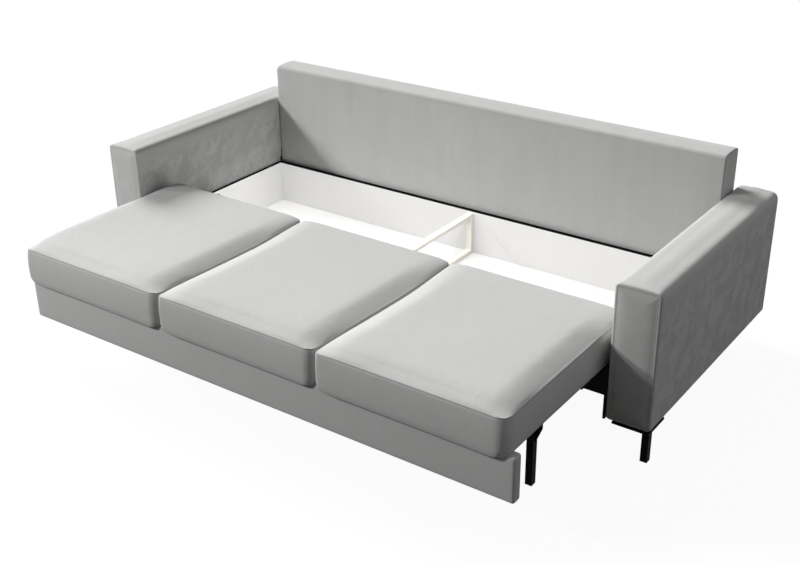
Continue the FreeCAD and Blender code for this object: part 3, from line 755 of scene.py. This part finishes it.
def inflate(piece, held):
    """Let air pressure swell the skin between its held points, by limit * tanh(way / limit)."""
    scene = bpy.context.scene
    start = places(piece.data)
    group = piece.vertex_groups.new(name="held")
    group.add(np.flatnonzero(held).tolist(), 1.0, "REPLACE")
    cloth = piece.modifiers.new("cloth", "CLOTH")
    for name, value in CLOTH_SETTINGS.items():
        setattr(cloth.settings, name, value)
    cloth.settings.effector_weights.gravity = 0
    cloth.collision_settings.use_collision = False
    cloth.point_cache.frame_start = 1
    cloth.point_cache.frame_end = CLOTH_FRAMES
    for number in range(1, CLOTH_FRAMES + 1):
        scene.frame_set(number)
    graph = bpy.context.evaluated_depsgraph_get()
    end = places(piece.evaluated_get(graph).to_mesh())
    piece.evaluated_get(graph).to_mesh_clear()
    piece.modifiers.clear()
    piece.vertex_groups.clear()
    scene.frame_set(1)
    moved = smoothed(piece, end - start, held)
    way = np.linalg.norm(moved, axis=1, keepdims=True)
    moved = moved * (SWELL_LIMIT * np.tanh(way / SWELL_LIMIT) / np.maximum(way, TINY))
    print(piece.name, "swelled by up to", round(float(way.max()) * 1000, 1), "mm before the limit")
    return start + moved


print("Air presses for", CLOTH_FRAMES, "frames")

# %% [markdown]
# Each cushion is swollen, kept out of its neighbours and drawn in along its seam by
# the thread. The three cushions differ only in which side has a skirt.

# %% Seat cushions
CUSHIONS = {"left_seat_cushion": -1, "centre_seat_cushion": 0, "right_seat_cushion": 1}
GROOVE = 0.0021
SIDE_BULGE = 0.003


def finish_cushion(name, outer):
    """Swell a cushion, keep it inside its width and groove its seam."""
    piece, points, held, seam, (low, high) = cushion_piece(name, outer)
    points = inflate(piece, held)
    straight = points[:, 0] + lean(*points.T, low[1])
    inner_low = low[0] - SIDE_BULGE * (outer < 0)
    inner_high = high[0] + SIDE_BULGE * (outer > 0)
    points[:, 0] += np.clip(straight, inner_low, inner_high) - straight
    middle = (low + high) / 2
    inward = middle[:2] - points[:, :2]
    inward /= np.maximum(np.abs(inward).max(axis=1, keepdims=True), TINY)
    points[seam, :2] += (inward * GROOVE)[seam]
    piece.data.vertices.foreach_set("co", points.astype(np.float32).ravel())
    settle(piece)
    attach(piece, "seat")
    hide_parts(name)
    return piece


for cushion_name, cushion_outer in CUSHIONS.items():
    finish_cushion(cushion_name, cushion_outer)

# %% [markdown]
# The arms and the back are wraps. An outline is a rectangle with round corners; a
# profile says, row by row, how far it is drawn in, and the rows are joined into a
# tube. Each end closes on a line, so that no point is crowded into a pole.

# %% Wraps
ARC_STEPS = 10
SIDE_STEPS = (44, 12)
SMALLEST_ARC = 0.0004
ROWS_START = 0.018
OUTWARD = np.array([(1, 0), (0, 1), (-1, 0), (0, -1)], float)
CLOSING_SHARES = (0.06, 0.14, 0.26, 0.42, 0.6, 0.8, 0.92, 1.0)


def round_outline(box, radii, inset, crowns, power=2.0):
    """A closed outline of a rectangle with four arcs, drawn in by an inset.

    The corners go round from the low right one. Sides swell by a crown that is
    four times share times (1 - share), so that it is nothing at the arcs. The two
    upper arcs are |x|**power + |y|**power = radius**power, so that a power above
    two gives a corner that reaches far and still cuts little away.
    """
    left, right, low, high = box
    left, right, low, high = left + inset, right - inset, low + inset, high - inset
    arcs = np.maximum(np.array(radii) - inset, SMALLEST_ARC)
    centres = [
        (right - arcs[0], low + arcs[0]),
        (right - arcs[1], high - arcs[1]),
        (left + arcs[2], high - arcs[2]),
        (left + arcs[3], low + arcs[3]),
    ]
    turns = np.linspace(0, np.pi / 2, ARC_STEPS + 1)
    corners = []
    for number, (across, up) in enumerate(centres):
        angle = turns - np.pi / 2 + number * np.pi / 2
        bend = 2 / (power if number in (1, 2) else 2.0)
        way = np.stack([np.cos(angle), np.sin(angle)], -1)
        way = np.sign(way.round(9)) * np.abs(way) ** bend
        corners.append(np.array([across, up]) + arcs[number] * way)
    outline = []
    for number in range(4):
        start = corners[number][-1]
        end = corners[(number + 1) % 4][0]
        share = np.linspace(0, 1, SIDE_STEPS[number % 2] + 1)[1:-1, None]
        bow = crowns[number] * 4 * share * (1 - share) * OUTWARD[number]
        outline += [corners[number], start + (end - start) * share + bow]
    return np.concatenate(outline)


def laid(ring, place):
    """An outline laid across the wrap at a place along it."""
    return np.column_stack([ring, np.full(len(ring), place)])


def mirrored(values):
    """The same values, read on the opposite side of a wrapped outline."""
    count = len(values)
    return values[(count - SIDE_STEPS[1] - np.arange(count)) % count]


def closing_rows(ring, bulge, power):
    """Rows that close an end: each point goes to the line along the end's middle.

    The end swells by bulge * (1 - (1 - share)**power), steepest at its edge.
    """
    low = ring.min(axis=0)
    high = ring.max(axis=0)
    half = (high - low)[:2].min() / 2
    length = int(np.argmax((high - low)[:2]))
    target = ring.copy()
    target[:, 1 - length] = (low + high)[1 - length] / 2
    along = np.clip(ring[:, length], low[length] + half, high[length] - half)
    target[:, length] = (along + mirrored(along)) / 2
    rows = []
    for share in CLOSING_SHARES:
        row = ring + (target - ring) * share
        row[:, 2] = ring[:, 2] + bulge * (1 - (1 - share) ** power)
        rows.append(row)
    return rows


def closed_wrap(rows, marks, first_end, last_end):
    """A tube through the rows, closed at both ends: points, faces and seam marks.

    Each end is given by how far it swells and by the power of its swelling.
    """
    first = closing_rows(rows[0], *first_end)[::-1]
    last = closing_rows(rows[-1], *last_end)
    grid = np.stack(first + rows + last)
    count, around = grid.shape[:2]
    number = np.arange(count * around).reshape(count, around)
    beside = np.roll(number, -1, axis=1)
    faces = np.stack([number[:-1], beside[:-1], beside[1:], number[1:]], -1)
    plain = [0] * len(CLOSING_SHARES)
    seam = np.repeat(np.array(plain + marks + plain, float), around)
    return grid.reshape(-1, 3), faces.reshape(-1, 4), seam


print("Points round a wrap:", 4 * (ARC_STEPS + 1) + 2 * (sum(SIDE_STEPS) - 2))

# %% [markdown]
# An arm is a timber box padded with thin foam. Its cover is one long sleeve with
# a front panel sewn in. A double row of stitches runs just inside the edge, and
# the welt between them stands a little proud. The sleeve is fuller at its front,
# and its top edges grow rounder behind the panel, as a stretched cover does.

# %% Arms
ARM_CROWN = 0.002
ARM_SOFT = 0.0012
ARM_SOFT_FRONT = 0.1
ARM_SOFT_REAR = 0.3
ARM_LIFT_FRONT = 0.013
ARM_LIFT_REAR = 0.003
ARM_LOW_CORNER = 0.016
ARM_TOP_CORNER = 0.015
ARM_TOP_REACH = 0.038
ARM_TOP_FADE = 0.04
ARM_REAR_EDGE = 0.012
ARM_ROWS = 84
ARM_ROWS_END = 0.020
ARM_EDGE_ROWS = 7
ARM_PANEL_END = (-0.0062, 4)
ARM_REAR_END = (0.003, 2)
# Each row: inset, place behind the front, and seam mark, which sets how much painted shade the
# velvet gets there.
ARM_PANEL_ROWS = [
    (0.0165, 0.0003, 0), (0.0130, 0.0004, 0), (0.0119, 0.0007, 0.2), (0.0114, 0.0012, 1),
    (0.0109, 0.0008, 0.2), (0.0090, 0.0005, 0), (0.0062, 0.0008, 0), (0.0043, 0.0016, 0.2),
    (0.0037, 0.0024, 1), (0.0030, 0.0028, 0.2), (0.0009, 0.0058, 0), (0.0, 0.0110, 0),
]
BRUSH_TOP = 0.025
BRUSH_TOP_FADE = 0.06
BRUSH_FRONT_FADE = 0.05
BRUSH_AT_FRONT = 0.4


def arm_profile(length):
    """Inset, place along the arm and seam mark, from the front panel to the rear edge."""
    places_along = np.linspace(ROWS_START, length - ARM_ROWS_END, ARM_ROWS)
    middle = [(0.0, place, 0) for place in places_along]
    turns = np.linspace(0, np.pi / 2, ARM_EDGE_ROWS)
    edge = ARM_REAR_EDGE
    rear = [(edge - edge * math.cos(a), length - edge + edge * math.sin(a), 0) for a in turns]
    return ARM_PANEL_ROWS + middle + rear


def arm_ring(box, inset, place, length):
    """One outline of the sleeve at a place behind its front."""
    soft = ARM_SOFT * min(1.0, place / ARM_SOFT_FRONT) * min(1.0, (length - place) / ARM_SOFT_REAR)
    lift = ARM_LIFT_FRONT + (ARM_LIFT_REAR - ARM_LIFT_FRONT) * place / length
    grown = 1 - math.exp(-place / ARM_TOP_FADE)
    top = ARM_TOP_CORNER + ARM_TOP_REACH * grown
    left, right, low, high = box
    sides = (left, right, low, high - ARM_CROWN + lift)
    radii = (ARM_LOW_CORNER, top, top, ARM_LOW_CORNER)
    return round_outline(sides, radii, inset, (soft, ARM_CROWN, soft, 0.0), 2 + 2 * grown)


def arm_piece(side):
    """An arm's whole cover from its nodes' boxes."""
    cover_low, cover_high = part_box(side + "_arm_cover")
    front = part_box(side + "_arm_front_panel")[0].y
    length = cover_high.y - front
    box = (cover_low.x, cover_high.x, cover_low.z, cover_high.z)
    profile = arm_profile(length)
    rings = [arm_ring(box, inset, place, length) for inset, place, mark in profile]
    rows = [laid(ring, front + place) for ring, (inset, place, mark) in zip(rings, profile)]
    marks = [mark for inset, place, mark in profile]
    points, faces, seam = closed_wrap(rows, marks, ARM_PANEL_END, ARM_REAR_END)
    points = points[:, [0, 2, 1]]
    brushed = np.clip((cover_high.z - BRUSH_TOP - points[:, 2]) / BRUSH_TOP_FADE, 0, 1)
    brushed *= np.clip(BRUSH_AT_FRONT + (points[:, 1] - front) / BRUSH_FRONT_FADE, 0, 1)
    marks = {"seam": seam, "brushed": brushed}
    piece = make_piece(side + "_arm_upholstery", points, faces, arm_velvet, marks)
    settle(piece)
    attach(piece, "base")
    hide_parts(side + "_arm_cover", side + "_arm_front_panel")
    return piece


for side in ("left", "right"):
    arm_piece(side)

# %% [markdown]
# The back is one long pad. Its front edge is soft, its ends are flat panels sewn
# in with a single seam. It is wrapped too, with the outline seen from the end, so
# that the seam runs evenly round each end.

# %% Back
BACK_SPREAD = 0.004
BACK_CROWN = 0.003
BACK_SOFT = 0.004
BACK_SOFT_REACH = 0.25
BACK_RADII = (0.014, 0.012, 0.021, 0.014)
BACK_END_SWELL = 0.0015
BACK_ROWS = 170
# Each row: inset, place from the end, and seam mark, which sets how much painted shade the velvet
# gets there.
BACK_END_ROWS = [
    (0.0100, 0.0000, 0), (0.0060, 0.0000, 0), (0.0036, 0.0006, 0.3), (0.0030, 0.0024, 1),
    (0.0012, 0.0030, 0.3), (0.0003, 0.0050, 0), (0.0, 0.0090, 0),
]


def back_profile(length):
    """Inset, place along the back and seam mark, from one end to the other."""
    middle = [(0.0, place, 0) for place in np.linspace(ROWS_START, length - ROWS_START, BACK_ROWS)]
    far = [(inset, length - place, mark) for inset, place, mark in BACK_END_ROWS[::-1]]
    return BACK_END_ROWS + middle + far


def back_piece():
    """The back's cover from its node's box, a little longer than it."""
    low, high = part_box("back_padding")
    length = high.x - low.x + 2 * BACK_SPREAD
    start = low.x - BACK_SPREAD
    box = (low.y, high.y, low.z, high.z)
    rows, marks = [], []
    for inset, place, mark in back_profile(length):
        soft = BACK_SOFT * min(1.0, min(place, length - place) / BACK_SOFT_REACH)
        ring = round_outline(box, BACK_RADII, inset, (soft, BACK_CROWN, soft, 0.0))
        rows.append(laid(ring, start + place))
        marks.append(mark)
    points, faces, seam = closed_wrap(rows, marks, (-BACK_END_SWELL, 2), (BACK_END_SWELL, 2))
    points = points[:, [2, 0, 1]]
    piece = make_piece("back_upholstery", points, faces, back_velvet, {"seam": seam})
    settle(piece)
    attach(piece, "backrest")
    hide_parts("back_padding")
    return piece


back_piece()

# %% [markdown]
# The apron is a thin padded board under the seat's front edge. It travels with
# the seat. Velvet goes round its front and edges, and its rear is black lining.
# It has no seam, so a rounded box is enough: a lattice with its edges pulled round.

# %% Apron
APRON_EDGE = 0.010
APRON_SPREAD = 0.006
APRON_SET_BACK = 0.005
APRON_LOWER = 0.005
APRON_BOW = 0.0012
APRON_LINES = (0.002, 0.0045, 0.007, 0.010)
APRON_CELLS = (0.012, 0.009, 0.010)
BACKING_DEPTH = 0.004
BACKING_FADE = 0.002


def apron_piece():
    """A rounded box: each point is pushed off an inner box by the edge's radius.

    Its front bows by 4 share (1 - share) of the height, and less towards its ends.
    """
    low, high = [np.array(corner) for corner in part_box("apron_padding")]
    low = low + (-APRON_SPREAD, APRON_SET_BACK, -APRON_LOWER)
    high = high + (APRON_SPREAD, 0, 0)
    size = high - low
    lines = [ruled(size[axis], APRON_LINES, APRON_LINES, APRON_CELLS[axis]) for axis in range(3)]
    numbers, faces = box_lattice(lines)
    flat = np.stack([lines[axis][numbers[:, axis]] for axis in range(3)], -1) + low
    inner = np.clip(flat, low + APRON_EDGE, high - APRON_EDGE)
    away = flat - inner
    away /= np.maximum(np.linalg.norm(away, axis=1, keepdims=True), TINY)
    points = inner + away * APRON_EDGE
    share = (points - low) / size
    to_ends = np.clip(share[:, 0] * (1 - share[:, 0]) * 8, 0, 0.25) * 4
    bow = APRON_BOW * 4 * share[:, 2] * (1 - share[:, 2]) * to_ends
    points[:, 1] -= bow * (away[:, 1] < -0.5)
    backing = np.clip((points[:, 1] - (high[1] - BACKING_DEPTH)) / BACKING_FADE, 0, 1)
    marks = {"seam": np.zeros(len(points)), "backing": backing}
    piece = make_piece("apron_upholstery", points, faces, seat_velvet, marks)
    settle(piece)
    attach(piece, "seat")
    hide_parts("apron_padding")


apron_piece()

# %% [markdown]
# The sofa stands on a pale floor against white. A white floor under real lamps
# would throw too much light up at the sofa. So the floor glows white to the camera
# alone, with a faint grey that takes the shadow, and is dark to everything else.

# %% Floor and surroundings
FLOOR_HALF = 40.0
FLOOR_GLOW = 0.945
SHADOW_GREY = (0.07, 0.07, 0.07, 1)
PLAIN_GREY = (0.06, 0.06, 0.06, 1)
WORLD_LEVEL = 0.155
WHITE = (1, 1, 1, 1)


def floor_finish():
    """White with a soft shadow where it is seen, and dark grey to the light that falls on it."""
    finish = Finish("pale_floor")
    share = finish.seen()
    shadow = finish.node("ShaderNodeBsdfDiffuse", {"Color": SHADOW_GREY})
    glow = finish.node("ShaderNodeEmission", {"Color": WHITE, "Strength": FLOOR_GLOW})
    shown = finish.node("ShaderNodeAddShader", {0: shadow, 1: glow})
    plain = finish.node("ShaderNodeBsdfDiffuse", {"Color": PLAIN_GREY})
    return finish.close(finish.node("ShaderNodeMixShader", {0: share, 1: plain, 2: shown}))


def add_floor():
    """One square, far wider than the picture."""
    corners = np.array([(-1, -1, 0), (1, -1, 0), (1, 1, 0), (-1, 1, 0)]) * FLOOR_HALF
    floor = make_piece("studio_floor", corners, np.array([[0, 1, 2, 3]]), floor_finish())


def add_world():
    """White where it is seen, and a weak even light on the sofa."""
    finish = Finish("studio", world=True)
    share = finish.seen()
    light = finish.node("ShaderNodeBackground", {"Color": WHITE, "Strength": WORLD_LEVEL})
    white = finish.node("ShaderNodeBackground", {"Color": WHITE, "Strength": 1.0})
    mixed = finish.node("ShaderNodeMixShader", {0: share, 1: light, 2: white})
    bpy.context.scene.world = finish.close(mixed, "ShaderNodeOutputWorld")


add_floor()
add_world()
print("The floor is", 2 * FLOOR_HALF, "m wide")

# %% [markdown]
# A broad lamp high on the left, a little behind, lights the tops softly. A small
# one from the front left draws the arm's shadow on the back, and a near lamp there
# makes the fronts fade to the right. The box has its own lamps, since its white
# boards stay pale in the photograph without a shadow, and a weak lamp fills the right.
# Light linking does this: EXCLUDE keeps a lamp off the box, INCLUDE keeps it there.

# %% Lamps
BOX_NODES = (
    "storage_floor", "left_side_lining", "right_side_lining", "rear_lining", "front_lining",
    "divider_top_rail", "divider_bottom_rail", "divider_front_post", "divider_rear_post",
)
LAMPS = (
    ("key", "SUN", (-4, 1, 4), (0.83, -0.29, -0.54), 3.5, math.radians(24), "EXCLUDE"),
    ("brow", "SUN", (-4, -3, 4), (0.84, 0.54, -0.546), 0.62, math.radians(5), "EXCLUDE"),
    ("front", "AREA", (-3.15, -3.3, 2.4), (0.60, 0.68, -0.42), 84, 0.45, "EXCLUDE"),
    ("box_key", "SUN", (-4, -2, 5), (0.80, 0.26, -0.54), 0.60, math.radians(6), "INCLUDE"),
    ("box_soft", "AREA", (-0.45, 0.3, 2.2), (0.01, 0.0, -1.0), 59, 2.4, "INCLUDE"),
    ("box_front", "AREA", (0.7, -1.4, 2.0), (-0.15, 0.80, -0.60), 26, 1.2, "INCLUDE"),
    ("side", "AREA", (4.4, 0.8, 2.6), (-0.80, -0.10, -0.55), 17, 2.0, None),
)


def aim(lamp, place, direction):
    """Turn a lamp so that it shines along a direction."""
    forward = np.array(direction, float)
    forward /= np.linalg.norm(forward)
    right = np.cross(forward, [0, 0, 1])
    right /= np.linalg.norm(right)
    stand_at(lamp, place, right, np.cross(right, forward), forward)


def add_lamp(name, kind, place, direction, energy, size):
    """A sun, whose size is an angle, or a round lamp, whose size is its width."""
    data = bpy.data.lights.new(name, kind)
    data.energy = energy
    if kind == "SUN":
        data.angle = size
    else:
        data.shape = "DISK"
        data.size = size
    lamp = bpy.data.objects.new(name, data)
    bpy.context.scene.collection.objects.link(lamp)
    aim(lamp, place, direction)
    return lamp


def link_lamp(lamp, pieces, state):
    """Let a lamp light only some pieces, or all but those."""
    group = bpy.data.collections.new(lamp.name + "_pieces")
    for piece in pieces:
        group.objects.link(piece)
    lamp.light_linking.receiver_collection = group
    for member in group.collection_objects:
        member.light_linking.link_state = state


bpy.context.scene.cycles.diffuse_bounces = 1
box_pieces = [nodes[name] for name in BOX_NODES]
for *lamp_settings, link_state in LAMPS:
    lamp = add_lamp(*lamp_settings)
    if link_state:
        link_lamp(lamp, box_pieces, link_state)
print("Lamps:", len(LAMPS))
